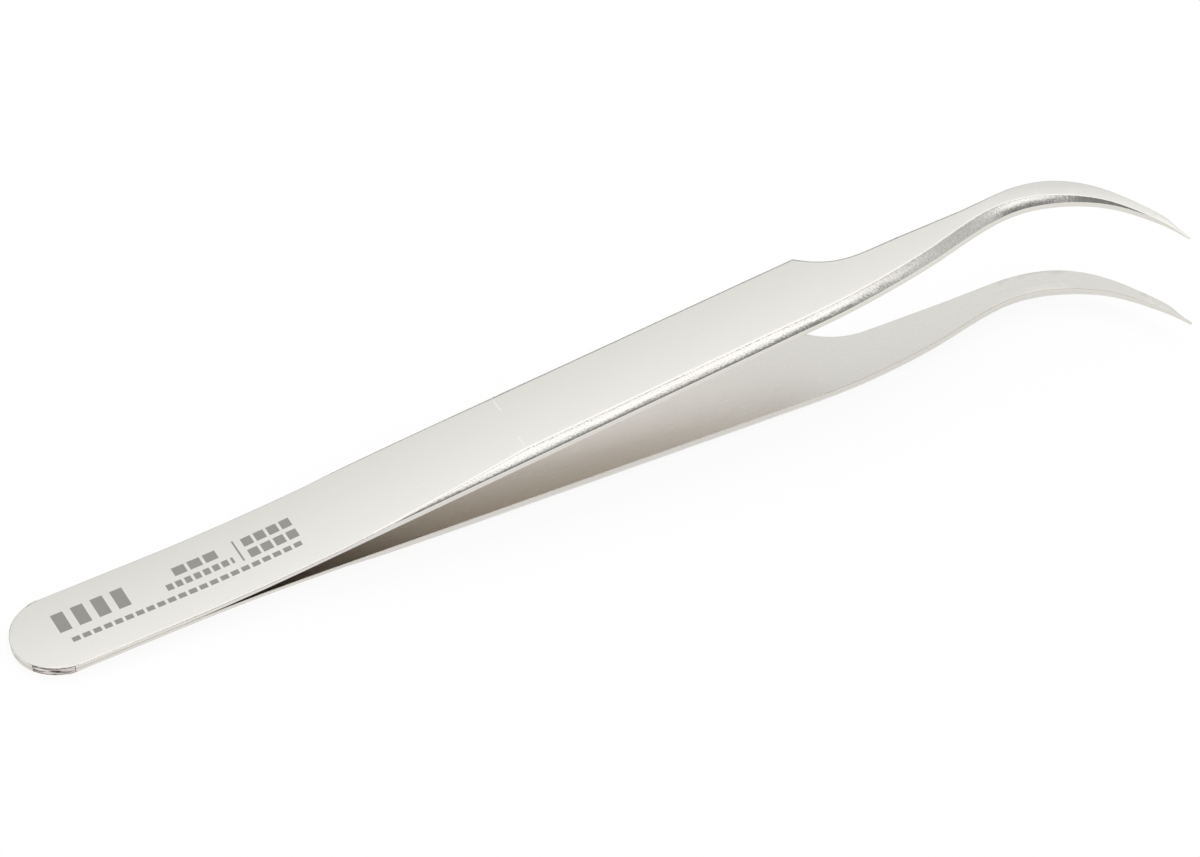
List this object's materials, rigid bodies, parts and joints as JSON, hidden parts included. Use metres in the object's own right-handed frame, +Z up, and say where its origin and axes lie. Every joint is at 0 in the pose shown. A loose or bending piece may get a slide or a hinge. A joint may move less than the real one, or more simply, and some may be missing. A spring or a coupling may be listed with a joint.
{
  "type": "curved tweezers",
  "caption": "Spring-steel tweezers: flat arms welded at the butt, with bevelled edges and slender necks that hook sideways to fine points, for picking up small parts.",
  "frame": {"origin": "centre of the overall box, at the height of the table the tool lies on", "axes": "+X from the butt to the points, +Y away from the side that the points hook to, +Z up, from the lower arm to the upper one"},
  "size_m": [0.1152, 0.0176, 0.0138],
  "materials": {
    "steel": "satin spring steel, brushed lengthwise, with finely ground bevels",
    "weld": "rough dressed weld with a faint heat tint"
  },
  "bodies": {
    "root": {"upper_arm": "steel", "lower_arm": "steel", "near_weld": "weld", "far_weld": "weld"}
  },
  "joints": []
}
